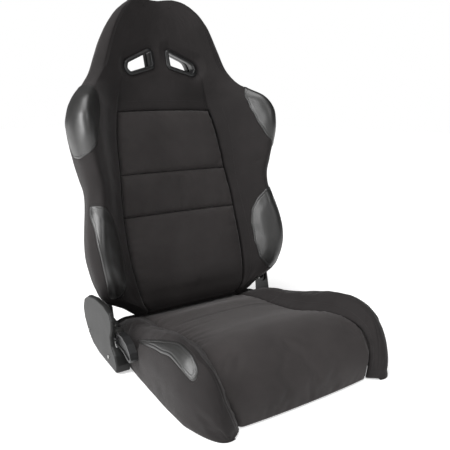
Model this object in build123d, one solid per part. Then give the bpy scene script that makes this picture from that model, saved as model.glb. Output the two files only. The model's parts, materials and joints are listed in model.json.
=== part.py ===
"""Reclining high-back sport seat: steel base frame, one-sided toothed recliner, tube back frame,
moulded foam pads with sewn bolsters, vinyl wear patches and two harness pass-throughs.

Row frame: millimetres, +Z up, the seat faces -Y and its occupant's right-hand side is -X.
The origin is the centre of the four floor bolts, on the floor face.
The back is modelled in its own frame (x across, y = -d with d forward of the back plane, z = w up
the back), then leaned by BACK_TILT about X and set at BACK_ORIGIN.
"""

from build123d import *
import os
from bisect import bisect_right
from math import cos, pi, radians, sin, tan

# ---------------------------------------------------------------- driving dimensions
BACK_TILT = 17.4            # lean of the back from vertical, degrees
BACK_ORIGIN = (0, 260, 262.5)  # point of the back plane where w = 0
PIVOT_Y, PIVOT_Z = 235.0, 92.0  # recline axis
RAIL_OUTER = 246            # outer face of the side rails
RAIL_SIZE = 30
RAIL_FRONT, RAIL_REAR = -232, 262
TUBE_WALL = 2.0
STRAP_THICK = 5             # floor mounting straps
BOLT_SPACING_X, BOLT_SPACING_Y = 350, 300
BOLT_HOLE_R = 4.25          # M8
CROSS_R = 14                # base cross tubes
CROSS_Y = 216
POCKET_TOP = 34             # underside of the base foam over the frame
SKIRT = 12                  # thickness of the padded skirt round the frame
HOOP_R = 11                 # back frame tube
HOOP_X = 188
HOOP_D = -42
BACK_CROWN = 8              # crown of the back's centre pads over their seams
POCKET_D = -29              # foam behind this plane is cut away for the back frame
PLATE = 4.0                 # recliner plates
RUN = 0.3                   # running gap between plates
PIN_GAP = 0.05              # radial running clearance on pins
PIVOT_R = 6.0
BUSH_R = 8.0
SECTOR_R = 36.0             # tooth tips of the recliner sector
TOOTH = 2.6
COVER_X0, COVER_X1 = -266, -299  # recliner cover, open side to face
COVER_SWEEP_X = -289        # inner limit of the cover where the back bolster passes
COVER_WALL = 2.5
SLOT_SLEEVE = 2.5
SLOT_FLARE = 16             # openings are this much wider all round behind SLOT_STEP
SLOT_STEP = -21
BEZEL_RIM, BEZEL_THICK = 11, 5
BEZEL_FRONT, BEZEL_REAR = 17.3, -59.5  # undersides of the bezel flanges
PANEL_THICK, PANEL_GAP = 3.0, 0.4
PANEL_LOW, PANEL_HIGH = -118, 600

# base cushion, front to back: y, seam half-width, seam height, crest height, outer half-width, crown
BASE_STATIONS = [
    (-290, 188, 12, 22, 222, 0),
    (-280, 184, 30, 50, 236, 0),
    (-264, 180, 44, 80, 246, 6),
    (-252, 188, 74, 106, 252, 8),
    (-236, 192, 93, 124, 257, 8),
    (-205, 191, 109, 143, 260, 8),
    (-155, 177, 114, 151, 261, 8),
    (-105, 160, 104, 148, 262, 8),
    (-50, 150, 89, 134, 262, 8),
    (20, 148, 75, 108, 262, 8),
    (85, 148, 67, 87, 258, 8),
    (110, 148, 65, 80, 243, 8),
    (150, 148, 63, 73, 241, 8),
    (190, 148, 60, 66, 240, 6),
    (206, 148, 57, 59, 240, 1),
    (220, 148, 53, 53.5, 240, 0.5),
    (235, 148, 50.5, 51, 240, 0.5),
    (250, 148, 53, 53.5, 240, 0.5),
]
NOSE_ROWS = 2               # front stations that only the side bolsters reach
BOLSTER_CREST_IN = 38       # crest lies this far inside the outer face

# back, bottom to top: w, seam half-width, outer half-width, front d, crest d, rear d
BACK_STATIONS = [
    (-204, 126, 180, -16, -15, -41),
    (-196, 132, 192, -6, -5, -51),
    (-186, 138, 204, 0, 4, -56),
    (-154, 152, 258, 6, 30, -62),
    (-115, 165, 280, 6, 62, -66),
    (-78, 172, 290, 4, 77, -66),
    (-38, 174, 294, 2, 81, -66),
    (8, 174, 291, 0, 81, -66),
    (55, 172, 283, 0, 76, -66),
    (107, 170, 274, 0, 75, -66),
    (141, 166, 274, 0, 84, -66),
    (169, 164, 281, 0, 95, -66),
    (226, 160, 291, 0, 117, -66),
    (273, 158, 294, 0, 132, -66),
    (310, 152, 293, 0, 134, -66),
    (342, 144, 282, 0, 124, -65),
    (378, 138, 262, 3, 88, -63),
    (410, 130, 236, 8, 58, -59),
    (446, 120, 211, 14, 46, -55),
    (502, 106, 182, 20, 54, -50),
    (546, 90, 158, 30, 66, -43),
    (580, 74, 134, 39, 76, -34),
    (612, 54, 106, 46, 78, -20),
    (634, 36, 74, 50, 72, 0),
    (646, 16, 36, 50, 60, 20),
]
PAD_JOINS = (-204, 55, 169, 342)  # cross seams of the back's centre panel
ARM_TOP_W = -22             # top of the recliner arms
LOWER_BAR_W = -62
UPPER_BAR_W = 268
HOOP_TOP_W = 415

# harness pass-throughs, right-hand one, as (x, w) corners of the clear opening
SLOT = [(29, 472), (29, 511), (99, 477), (103, 462), (95, 452)]

BACK = Location(BACK_ORIGIN, (-BACK_TILT, 0, 0))
os.makedirs("parts", exist_ok=True)


# ---------------------------------------------------------------- helpers
def save(name, *solids):
    """Writes one node from one or more separate solids."""
    shape = solids[0] if len(solids) == 1 else Compound(children=list(solids))
    export_step(shape, f"parts/{name}.step")


def mirrored(shape):
    """The other side's copy of a shape."""
    return mirror(shape, Plane.YZ)


def only_solid(shape):
    """The one solid in a boolean result."""
    return sorted(shape.solids(), key=lambda s: s.volume)[-1]


def between(stations, key):
    """Row of a station table at key, linear between its neighbours."""
    keys = [s[0] for s in stations]
    i = min(max(bisect_right(keys, key), 1), len(keys) - 1)
    low, high = stations[i - 1], stations[i]
    t = (key - low[0]) / (high[0] - low[0])
    return [a + (b - a) * t for a, b in zip(low, high)]


def ruled(sections):
    """Solid through closed polygons with equal point counts."""
    return Solid.make_loft([Wire.make_polygon(s, close=True) for s in sections], ruled=True)


def box_between(low, high):
    """Box from its lowest to its highest corner."""
    size = [b - a for a, b in zip(low, high)]
    middle = [(a + b) / 2 for a, b in zip(low, high)]
    return Pos(*middle) * Box(*size)


def rod_x(radius, x0, x1, y, z):
    """Cylinder along X."""
    return Pos((x0 + x1) / 2, y, z) * Rot(0, 90, 0) * Cylinder(radius, abs(x1 - x0))


def plate_x(outline, x0, x1):
    """Plate in a plane across X from (y, z) corners."""
    face = make_face(Polyline(*[(x0, y, z) for y, z in outline], close=True))
    return extrude(face, amount=x1 - x0, dir=(1, 0, 0))


def hex_x(across, x0, x1, y, z):
    """Hexagon bar along X."""
    r = across / 2 / cos(pi / 6)
    corners = [(y + r * cos(a * pi / 3), z + r * sin(a * pi / 3)) for a in range(6)]
    return plate_x(corners, x0, x1)


def bolt_x(radius, head_x, tip_x, y, z):
    """Hex-head bolt along X with its head at head_x, outside."""
    side = 1 if head_x > tip_x else -1
    head = hex_x(radius * 3.2, head_x, head_x + side * radius, y, z)
    return head + rod_x(radius, head_x, tip_x, y, z)


def back_yz(d, w):
    """Row-frame (y, z) of a point of the back, d forward of its plane and w up it."""
    t = radians(BACK_TILT)
    return (BACK_ORIGIN[1] + w * sin(t) - d * cos(t), BACK_ORIGIN[2] + w * cos(t) + d * sin(t))


# ---------------------------------------------------------------- base frame
def side_rail(side, bolts):
    """Square tube along one side of the base, drilled for its pivot plate's bolts."""
    x = side * (RAIL_OUTER - RAIL_SIZE / 2)
    length = RAIL_REAR - RAIL_FRONT
    y = (RAIL_REAR + RAIL_FRONT) / 2
    outer = Box(RAIL_SIZE, length, RAIL_SIZE)
    inner = Box(RAIL_SIZE - 2 * TUBE_WALL, length, RAIL_SIZE - 2 * TUBE_WALL)
    return drilled(Pos(x, y, RAIL_SIZE / 2) * (outer - inner), x - RAIL_SIZE, x + RAIL_SIZE,
                   [(PIN_R, hole_y, hole_z) for hole_y, hole_z in bolts])


def cross_tube(y):
    """Round tube between the side rails."""
    span = RAIL_OUTER - RAIL_SIZE
    z = STRAP_THICK + CROSS_R
    return rod_x(CROSS_R, -span, span, y, z) - rod_x(CROSS_R - TUBE_WALL, -span, span, y, z)


def mount_strap(side):
    """Flat bar under the cross tubes with two floor-bolt holes."""
    x = side * BOLT_SPACING_X / 2
    strap = box_between((x - 18, -CROSS_Y - 10, 0), (x + 18, CROSS_Y + 10, STRAP_THICK))
    for y in (-BOLT_SPACING_Y / 2, BOLT_SPACING_Y / 2):
        strap -= Pos(x, y, STRAP_THICK / 2) * Cylinder(BOLT_HOLE_R, STRAP_THICK + 2)
    return strap


def weld_nut(x, y):
    """M8 nut standing on a mounting strap."""
    nut = extrude(RegularPolygon(7.5, 6), amount=6.5)
    nut -= Pos(0, 0, 3) * Cylinder(BOLT_HOLE_R, 10)
    return Pos(x, y, STRAP_THICK) * nut


def suspension():
    """Rubber straps across the base and the steel clips that hook them on the rails."""
    straps, clips = [], []
    edge = RAIL_OUTER - RAIL_SIZE
    for y in (-150, -75, 0, 75, 150):
        straps.append(box_between((-edge + 14, y - 20, 27), (edge - 14, y + 20, 31)))
        for side in (-1, 1):
            clip = box_between((edge - 14, y - 12, 25), (edge, y + 12, 32))
            clip -= box_between((edge - 14, y - 9, 27), (edge - 6, y + 9, 30))
            clips.append(clip if side > 0 else mirrored(clip))
    return straps, clips


# ---------------------------------------------------------------- base cushion
def base_pad(kind):
    """Centre pad or right-hand bolster of the base, hollowed underneath for the frame."""
    rows = BASE_STATIONS[NOSE_ROWS:] if kind == "centre" else BASE_STATIONS
    sections = []
    for y, seam, seam_z, crest_z, outer, crown in rows:
        crest = outer - BOLSTER_CREST_IN
        if kind == "centre":
            right = [(seam * 0.6, seam_z + crown), (seam, seam_z), (seam, 0)]
            outline = right + [(-x, z) for x, z in reversed(right)]
        else:
            rise = crest_z - seam_z
            outline = [
                (seam, 0),
                (seam, seam_z),
                (seam + 0.35 * (crest - seam), seam_z + 0.35 * rise),
                (crest - 6, crest_z - 3),
                (crest + 6, crest_z),
                (outer - 10, crest_z * 0.9),
                (outer, crest_z * 0.62),
                (outer - 2, 0),
            ]
        sections.append([(x, y, z) for x, z in outline])
    pad = ruled(sections)
    reach = RAIL_OUTER + 0.5
    pocket = box_between((-reach, RAIL_FRONT - 2, -1), (reach, RAIL_REAR + 20, POCKET_TOP))
    return only_solid(pad - pocket)


def split_off(pad, region):
    """The part of a pad inside a region, and the rest."""
    return only_solid(pad & region), only_solid(pad - region)


# ---------------------------------------------------------------- back cushion
def half_outline(row):
    """Right-hand half of the back's section, from the front centre round to the rear centre."""
    _, seam, outer, front, crest_d, rear = row
    crest = outer - 30 * min(1, outer / 200)
    rise, deep = crest_d - front, crest_d - rear
    return [
        (0, front),
        (seam, front),
        (seam + 0.3 * (crest - seam), front + 0.25 * rise),
        (seam + 0.75 * (crest - seam), front + 0.8 * rise),
        (crest, crest_d),
        (0.985 * outer, crest_d - 0.13 * deep),
        (outer, rear + 0.6 * deep),
        (0.95 * outer, rear + 0.25 * deep),
        (0.84 * outer, rear + 9),
        (seam, rear),
        (0, rear),
    ]


def back_rows(low, high):
    """Station rows from low to high, both ends included."""
    inside = [row for row in BACK_STATIONS if low < row[0] < high]
    return [between(BACK_STATIONS, low), *inside, between(BACK_STATIONS, high)]


def back_solid(low, high, kind):
    """One block of the back between two heights: centre, bolster (right-hand) or whole width."""
    sections = []
    for row in back_rows(low, high):
        half = half_outline(row)
        right = half[1:-1]
        if kind == "centre":
            right = [(0.55 * row[1], row[3] + BACK_CROWN), half[1], half[-2]]
        outline = right if kind == "bolster" else right + [(-x, d) for x, d in reversed(right)]
        sections.append([(x, -d, row[0]) for x, d in outline])
    return ruled(sections)


def frame_pocket():
    """Room behind the foam for the back frame."""
    reach = HOOP_X + HOOP_R + 2
    return box_between((-reach, -POCKET_D, -200), (reach, 90, HOOP_TOP_W + HOOP_R + 3))


def arm_pockets():
    """Room inside the lower bolsters for the recliner arms and the lower bar."""
    x0, x1 = RAIL_OUTER - 12, RAIL_OUTER + 20
    side = box_between((x0, -8, -130), (x1, 56, ARM_TOP_W + 3))
    side += box_between((x0, -15, -206), (x1, 70, -130))
    bar = box_between((-250, -POCKET_D, LOWER_BAR_W - 14), (250, 90, LOWER_BAR_W + 14))
    return side + mirrored(side) + bar


def slot_outline(grow):
    """Opening outline grown outwards, with rounded corners, on the local XZ plane."""
    face = make_face(Polyline(*[(x, 0, w) for x, w in SLOT], close=True))
    return offset(face, amount=grow, kind=Kind.ARC)


def slot_prism(grow, front_d, rear_d):
    """Right-hand opening's prism from front_d back to rear_d, level when the seat is upright."""
    t = radians(BACK_TILT)
    face = Pos(0, -front_d, (BEZEL_FRONT - front_d) * tan(t)) * slot_outline(grow)
    return extrude(face, amount=(front_d - rear_d) / cos(t), dir=(0, cos(t), sin(t)))


def head_pad():
    """Full-width top of the back, cut for the frame and both harness openings."""
    pad = back_solid(PAD_JOINS[3] + 0.4, BACK_STATIONS[-1][0], "whole")
    hole = slot_prism(SLOT_SLEEVE + 0.3, 120, SLOT_STEP)
    hole += slot_prism(BEZEL_RIM + 0.3, 120, BEZEL_FRONT - 0.2)
    hole += slot_prism(SLOT_FLARE + SLOT_SLEEVE + 0.3, SLOT_STEP + 0.3, -120)
    return only_solid(pad - frame_pocket() - hole - mirrored(hole))


def bezel(under, depth, facing, flare):
    """Flanged sleeve of one opening: its flange on the pad from `under` outwards, its sleeve inside."""
    out, inside = under + facing * BEZEL_THICK, under - facing * depth
    flange = slot_prism(flare + BEZEL_RIM, max(out, under), min(out, under))
    sleeve = slot_prism(flare + SLOT_SLEEVE, max(under, inside), min(under, inside))
    return only_solid(flange + sleeve - slot_prism(flare, 140, -140))


def rear_panel():
    """Thin moulded panel that closes the back of the seat."""
    sections = []
    for row in back_rows(PANEL_LOW, PANEL_HIGH):
        _, seam, outer, _, _, rear = row
        half = [(seam, rear), (0.84 * outer, rear + 9), (0.88 * outer, rear + 14)]
        inner = [(-x, d) for x, d in reversed(half)] + half
        face = [(x, d - PANEL_THICK) for x, d in reversed(inner)]
        sections.append([(x, PANEL_GAP - d, row[0]) for x, d in inner + face])
    hole = slot_prism(SLOT_FLARE + SLOT_SLEEVE + 0.3, 140, -140)
    return only_solid(ruled(sections) - hole - mirrored(hole))


# ---------------------------------------------------------------- back frame
def hoop():
    """Bent tube: two legs and a rounded top."""
    low, top, r = -150, HOOP_TOP_W, 70
    path = FilletPolyline(
        (-HOOP_X, -HOOP_D, low), (-HOOP_X, -HOOP_D, 240), (-120, -HOOP_D, top),
        (120, -HOOP_D, top), (HOOP_X, -HOOP_D, 240), (HOOP_X, -HOOP_D, low), radius=r)
    section = Plane(origin=(-HOOP_X, -HOOP_D, low), z_dir=(0, 0, 1)) * Circle(HOOP_R)
    return sweep(section, path=path)


def back_straps():
    """Rubber straps across the back frame and their clips."""
    straps, clips = [], []
    edge = HOOP_X - HOOP_R
    for w in (-120, 0, 60, 140, 205):
        straps.append(box_between((-edge + 12, -HOOP_D - 4, w - 16), (edge - 12, -HOOP_D, w + 16)))
        for side in (-1, 1):
            clip = box_between((edge - 12, -HOOP_D - 5, w - 10), (edge - 0.5, -HOOP_D + 1, w + 10))
            clips.append(clip if side > 0 else mirrored(clip))
    return straps, clips


# ---------------------------------------------------------------- recliner, left side
BRACKET_X = -RAIL_OUTER                 # plate stack, inside to outside
ARM_X = BRACKET_X - PLATE - RUN
LEVER_X = ARM_X - PLATE - RUN
STACK_END = LEVER_X - PLATE
GRIP_X = -275.0                         # plane of the lever's outer leg
STUD_Y, STUD_Z = 150.0, 60.0            # lever pivot
PAWL_Y, PAWL_Z = 222.0, 40.0            # pawl pivot
PAWL_GAP = 0.6                          # pawl stands this far outside the tooth tips
PIN_R = 4.0
LEFT_RAIL_BOLTS = ((110, 16), (180, 16))
RIGHT_RAIL_BOLTS = ((180, 16), (245, 16))
POSTS = ((94, 28), (240, 42))           # cover screws
SCREW_R = 2.0
FOLLOWER_R = 2.5                        # pin on the pawl's arm, under the lever's nose
FOLLOWER_Y, FOLLOWER_Z = 163.0, 52.5


def sector_profile(start_deg, end_deg, count):
    """Toothed arc about the recline axis, as (y, z) corners, tips at SECTOR_R."""
    points = []
    for i in range(count):
        root = SECTOR_R - TOOTH
        for part, radius in ((0.0, root), (0.3, SECTOR_R), (0.6, SECTOR_R), (0.9, root)):
            a = radians(start_deg + (end_deg - start_deg) * (i + part) / count)
            points.append((PIVOT_Y + radius * cos(a), PIVOT_Z + radius * sin(a)))
    return points


def back_arm(low, x0, x1):
    """Back-side recliner plate: an outline round the pivot, then up to the back's lower bar."""
    upper = [back_yz(-33, -140), back_yz(-44, -110), back_yz(-44, ARM_TOP_W), back_yz(-12, ARM_TOP_W),
             back_yz(2, -140)]
    arm = plate_x(low + upper, x0, x1)
    return only_solid(arm - rod_x(BUSH_R + PIN_GAP, x0 - 2, x1 + 2, PIVOT_Y, PIVOT_Z))


def drilled(plate, x0, x1, holes):
    """Plate with round holes along X, each (radius, y, z)."""
    for r, y, z in holes:
        plate -= rod_x(r + PIN_GAP, x0 - 2, x1 + 2, y, z)
    return only_solid(plate)


def lower_bracket():
    """Base-side plate: bolted to the rail, carries the pivot, the pawl and the lever, ends in a foot."""
    outline = [
        (22, 0), (58, 0), (64, 8), (100, 6), (255, 6), (264, 30), (268, 70), (266, 104), (254, 122),
        (235, 129), (216, 122), (202, 104), (196, 78), (150, 75), (90, 60), (48, 48), (22, 40),
    ]
    holes = [(PIVOT_R, PIVOT_Y, PIVOT_Z), (PIN_R, PAWL_Y, PAWL_Z), (PIN_R, STUD_Y, STUD_Z)]
    holes += [(PIN_R, y, z) for y, z in LEFT_RAIL_BOLTS]
    plate = plate_x(outline, BRACKET_X - PLATE, BRACKET_X)
    return drilled(plate, BRACKET_X - PLATE, BRACKET_X, holes)


def pawl():
    """Toothed latch under the sector, held just clear of its tips, with a long arm to the lever."""
    r = SECTOR_R + PAWL_GAP
    face = [(PIVOT_Y + r * cos(radians(a)), PIVOT_Z + r * sin(radians(a))) for a in (240, 232, 224, 216)]
    outline = [*face, (196, 64), (188, 57), (163, 57), (158, FOLLOWER_Z), (163, 48), (192, 47),
               (PAWL_Y - 9, PAWL_Z - 7), (PAWL_Y, PAWL_Z - 9), (PAWL_Y + 9, PAWL_Z - 3),
               (PAWL_Y + 8, PAWL_Z + 6)]
    plate = plate_x(outline, ARM_X - PLATE, ARM_X)
    plate += rod_x(FOLLOWER_R, LEVER_X - PLATE, ARM_X, FOLLOWER_Y, FOLLOWER_Z)
    return drilled(plate, ARM_X - PLATE, ARM_X, [(PIN_R, PAWL_Y, PAWL_Z)])


def lever():
    """Steel release lever: hub and nose on its stud, a joggle outwards past the cushion, a tang."""
    hub = rod_x(11, LEVER_X - PLATE, LEVER_X, STUD_Y, STUD_Z)
    nose = rod_x(4, LEVER_X - PLATE, LEVER_X, FOLLOWER_Y, STUD_Z)
    neck = plate_x([(STUD_Y, STUD_Z - 5), (FOLLOWER_Y, STUD_Z - 4), (FOLLOWER_Y, STUD_Z + 4),
                    (STUD_Y + 4, STUD_Z + 10), (112, 84), (112, 66), (STUD_Y - 6, STUD_Z - 9)],
                   LEVER_X - PLATE, LEVER_X)
    joggle = box_between((GRIP_X - PLATE, 112, 66), (LEVER_X, 120, 84))
    tang = box_between((GRIP_X - PLATE, 30, 68), (GRIP_X, 120, 82))
    lever_shape = only_solid(hub + nose + neck + joggle + tang)
    return drilled(lever_shape, GRIP_X, LEVER_X, [(PIN_R, STUD_Y, STUD_Z)])


GRIP_OUTLINE = [
    (72, 86), (60, 98), (34, 99), (6, 90), (-10, 76), (-16, 62), (-8, 52), (8, 54), (30, 62), (60, 64),
    (72, 68),
]


def lever_grip():
    """Moulded paddle over the lever's tang, dished on its outer face."""
    x0, x1 = GRIP_X + 7, GRIP_X - PLATE - 7
    sketch = make_face(Polyline(*GRIP_OUTLINE, close=True))
    body = fillet(extrude(sketch, amount=x0 - x1).edges().filter_by(Axis.Z), 5)
    dish = Pos(0, 0, -1) * extrude(offset(sketch, amount=-5, kind=Kind.INTERSECTION), amount=4)
    body = Location(Plane.YZ.offset(x1)) * (body - dish)
    tang = box_between((GRIP_X - PLATE - 0.05, 29.9, 67.95), (GRIP_X + 0.05, 80, 82.05))
    return only_solid(body - tang)


def clock_spring():
    """Flat spiral that helps the back forward, wound round the pivot bolt."""
    turns, r0, r1, half = 3.25, 7.5, 24.0, 0.7
    steps = int(turns * 24)
    inner, outer = [], []
    for i in range(steps + 1):
        a = 2 * pi * turns * i / steps
        r = r0 + (r1 - r0) * i / steps
        inner.append((PIVOT_Y + (r - half) * cos(a), PIVOT_Z + (r - half) * sin(a)))
        outer.append((PIVOT_Y + (r + half) * cos(a), PIVOT_Z + (r + half) * sin(a)))
    return plate_x(inner + outer[::-1], STACK_END - 11, STACK_END - 4)


COVER_OUTLINE = [
    (46, 4), (42, 26), (52, 46), (72, 62), (76, 84), (66, 104), (63, 126), (76, 143), (112, 151),
    (170, 150), (230, 139), (270, 118), (283, 92), (277, 64), (252, 33), (216, 13), (168, 5),
]


def recliner_cover():
    """Moulded shell over the recliner, its rim cut back where the back bolster swings past."""
    sketch = make_face(Polyline(*COVER_OUTLINE, close=True))
    sketch = fillet(sketch.vertices(), 9)
    deep = COVER_X0 - COVER_X1
    body = extrude(sketch, amount=deep)
    body = fillet(body.edges().group_by(Axis.Z)[0], 5)
    hollow = Pos(0, 0, COVER_WALL) * extrude(offset(sketch, amount=-COVER_WALL, kind=Kind.ARC), amount=deep)
    body = Location(Plane.YZ.offset(COVER_X1)) * (body - hollow)
    for y, z in POSTS:
        body -= rod_x(SCREW_R + 0.3, COVER_X1 - 2, COVER_X1 + 6, y, z)
    swing_room = box_between((COVER_SWEEP_X, 30, 62), (COVER_X0 + 5, 330, 200))
    lever_room = box_between((GRIP_X - PLATE - 9, 30, 58), (COVER_X0 + 5, 130, 110))
    return only_solid(body - swing_room - lever_room)


def cover_post(y, z):
    """Tapped post from the bracket to the cover."""
    x0, x1 = COVER_X1 + COVER_WALL + 0.2, BRACKET_X - PLATE
    return only_solid(rod_x(5, x0, x1, y, z) - rod_x(SCREW_R, x0 - 1, x0 + 16, y, z))


def cover_screw(y, z):
    """Pan-head screw through the cover into its post."""
    shank = rod_x(SCREW_R - PIN_GAP, COVER_X1, COVER_X1 + 16, y, z)
    head = rod_x(SCREW_R * 2, COVER_X1 - 2, COVER_X1, y, z)
    slot = box_between((COVER_X1 - 3, y - 5, z - 0.4), (COVER_X1 - 1, y + 5, z + 0.4))
    return only_solid(shank + head - slot)


def return_spring():
    """Small coil spring that lifts the pawl and returns the lever."""
    y0, z0 = 128, 34
    helix = Helix(pitch=3.2, height=28, radius=3.2, center=(0, 0, 0), direction=(0, 0, 1))
    wire_section = Plane(origin=helix @ 0, z_dir=helix % 0) * Circle(0.6)
    return Pos((LEVER_X + STACK_END) / 2 - 0.5, y0, z0 - 14) * sweep(wire_section, path=helix)


# ---------------------------------------------------------------- plain pivot, right side
def pivot_plate_right():
    """Base-side plate of the plain pivot."""
    outline = [(160, 6), (262, 6), (266, 60), (260, 106), (235, 118), (210, 106), (200, 60), (160, 34)]
    holes = [(PIVOT_R, PIVOT_Y, PIVOT_Z)] + [(PIN_R, y, z) for y, z in RIGHT_RAIL_BOLTS]
    return drilled(plate_x(outline, RAIL_OUTER, RAIL_OUTER + PLATE), RAIL_OUTER, RAIL_OUTER + PLATE, holes)


def pivot_cap():
    """Domed cap over the right-hand pivot bolt's head."""
    x0 = RAIL_OUTER + PLATE
    cap = rod_x(15, x0, x0 + 11, PIVOT_Y, PIVOT_Z)
    cap = fillet(cap.edges().group_by(Axis.X)[-1], 6)
    return only_solid(cap - rod_x(12.5, x0 - 1, x0 + 8.5, PIVOT_Y, PIVOT_Z))


# ---------------------------------------------------------------- fasteners
def rail_bolts():
    """Bolts and nuts that hold the pivot plates on the rails."""
    bolts, nuts = [], []
    for side, places in ((-1, LEFT_RAIL_BOLTS), (1, RIGHT_RAIL_BOLTS)):
        face, inner = side * (RAIL_OUTER + PLATE), side * (RAIL_OUTER - RAIL_SIZE)
        for y, z in places:
            bolts.append(bolt_x(PIN_R, face, inner - side * 8, y, z))
            nut = hex_x(13, inner, inner - side * 6.5, y, z)
            nuts.append(nut - rod_x(PIN_R + PIN_GAP, inner + side, inner - side * 8, y, z))
    return bolts, nuts


def pivot_parts():
    """Pivot bolts, their nuts and bushings, left then right."""
    left = bolt_x(PIVOT_R, BRACKET_X, STACK_END - 12, PIVOT_Y, PIVOT_Z)
    right = bolt_x(PIVOT_R, RAIL_OUTER + PLATE, RAIL_OUTER - 11.5, PIVOT_Y, PIVOT_Z)
    bushes, nuts = [], []
    arm_right = RAIL_OUTER - RUN - PLATE
    for x0, nut_x in ((ARM_X - PLATE, ARM_X - PLATE - 6.3), (arm_right, arm_right - 6.3)):
        bush = rod_x(BUSH_R, x0, x0 + PLATE, PIVOT_Y, PIVOT_Z)
        bushes.append(bush - rod_x(PIVOT_R + PIN_GAP, x0 - 1, x0 + PLATE + 1, PIVOT_Y, PIVOT_Z))
        nut = hex_x(18, nut_x, nut_x + 6, PIVOT_Y, PIVOT_Z)
        nuts.append(nut - rod_x(PIVOT_R + PIN_GAP, nut_x - 1, nut_x + 7, PIVOT_Y, PIVOT_Z))
    return left, right, bushes, nuts


# ---------------------------------------------------------------- build and write
def write_base():
    for side, name, bolts in ((-1, "left", LEFT_RAIL_BOLTS), (1, "right", RIGHT_RAIL_BOLTS)):
        save(f"side_rail_{name}", side_rail(side, bolts))
        save(f"floor_mount_strap_{name}", mount_strap(side))
    save("front_cross_tube", cross_tube(-CROSS_Y))
    save("rear_cross_tube", cross_tube(CROSS_Y))
    half_x, half_y = BOLT_SPACING_X / 2, BOLT_SPACING_Y / 2
    save("floor_weld_nuts", *[weld_nut(x, y) for x in (-half_x, half_x) for y in (-half_y, half_y)])
    straps, clips = suspension()
    save("base_suspension_straps", *straps)
    save("base_strap_clips", *clips)


def write_base_cushion():
    save("base_centre_pad", base_pad("centre"))
    patch, bolster = split_off(base_pad("bolster"), box_between((208, -212, 96), (300, 40, 200)))
    notch = box_between((-300, 14, -1), (-RAIL_OUTER + 0.5, 130, 80))
    save("base_bolster_right", bolster)
    save("base_bolster_left", only_solid(mirrored(bolster) - notch))
    save("base_wear_patch_right", patch)
    save("base_wear_patch_left", mirrored(patch))


def write_back_cushion():
    gap = 0.4
    for i, name in enumerate(("lumbar", "middle", "chest")):
        pad = back_solid(PAD_JOINS[i] + gap * (i > 0), PAD_JOINS[i + 1] - gap, "centre")
        save(f"back_{name}_pad", BACK * only_solid(pad - frame_pocket()))
    save("back_head_pad", BACK * head_pad())
    bolster = back_solid(PAD_JOINS[0], PAD_JOINS[3] - gap, "bolster")
    bolster = only_solid(bolster - frame_pocket() - arm_pockets())
    shoulder, bolster = split_off(bolster, box_between((244, -170, 205), (320, -30, 400)))
    lumbar, bolster = split_off(bolster, box_between((248, -120, -130), (320, -20, 110)))
    named = ((bolster, "back_bolster"), (shoulder, "shoulder_wear_patch"), (lumbar, "lumbar_wear_patch"))
    for part, name in named:
        save(f"{name}_right", BACK * part)
        save(f"{name}_left", BACK * mirrored(part))
    front, rear = bezel(BEZEL_FRONT, 30, 1, 0), bezel(BEZEL_REAR, 25, -1, SLOT_FLARE)
    for part, name in ((front, "harness_bezel_front"), (rear, "harness_bezel_rear")):
        save(f"{name}_right", BACK * part)
        save(f"{name}_left", BACK * mirrored(part))
    save("back_rear_panel", BACK * rear_panel())


def write_back_frame():
    tube = hoop()
    lower = rod_x(HOOP_R - 2, ARM_X, RAIL_OUTER - RUN - PLATE, -HOOP_D, LOWER_BAR_W) - tube
    upper = rod_x(HOOP_R - 2, -HOOP_X, HOOP_X, -HOOP_D, UPPER_BAR_W) - tube
    save("back_frame_hoop", BACK * tube)
    save("back_lower_bar", *[BACK * bar for bar in lower.solids()])
    save("back_upper_bar", BACK * only_solid(upper))
    straps, clips = back_straps()
    save("back_suspension_straps", *[BACK * s for s in straps])
    save("back_strap_clips", *[BACK * c for c in clips])


def write_recliner():
    save("recliner_lower_bracket", lower_bracket())
    save("recliner_upper_arm", back_arm(sector_profile(150, 330, 26), ARM_X - PLATE, ARM_X))
    save("recliner_pawl", pawl())
    save("pawl_pin", bolt_x(PIN_R, LEVER_X, BRACKET_X + 4, PAWL_Y, PAWL_Z))
    save("lever_stud", bolt_x(PIN_R, STACK_END - RUN, BRACKET_X + 4, STUD_Y, STUD_Z))
    save("release_lever", lever())
    save("release_lever_grip", lever_grip())
    save("lever_return_spring", return_spring())
    save("recliner_clock_spring", clock_spring())
    save("recliner_cover", recliner_cover())
    save("cover_posts", *[cover_post(y, z) for y, z in POSTS])
    save("cover_screws", *[cover_screw(y, z) for y, z in POSTS])


def write_plain_pivot():
    low = [(PIVOT_Y + 20 * cos(radians(a)), PIVOT_Z + 20 * sin(radians(a))) for a in range(170, 350, 20)]
    arm_x = RAIL_OUTER - RUN
    save("pivot_plate_right", pivot_plate_right())
    save("pivot_arm_right", back_arm(low, arm_x - PLATE, arm_x))
    save("pivot_cap_right", pivot_cap())


def write_fasteners():
    left, right, bushes, nuts = pivot_parts()
    save("pivot_bolt_left", left)
    save("pivot_bolt_right", right)
    save("pivot_bushings", *bushes)
    save("pivot_nuts", *nuts)
    bolts, rail_nuts = rail_bolts()
    save("rail_bolts", *bolts)
    save("rail_nuts", *rail_nuts)


if __name__ == "__main__":
    write_base()
    write_base_cushion()
    write_back_cushion()
    write_back_frame()
    write_recliner()
    write_plain_pivot()
    write_fasteners()
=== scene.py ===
"""Reclining sport seat: sewn covers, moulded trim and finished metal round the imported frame."""

import json
import math

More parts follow.
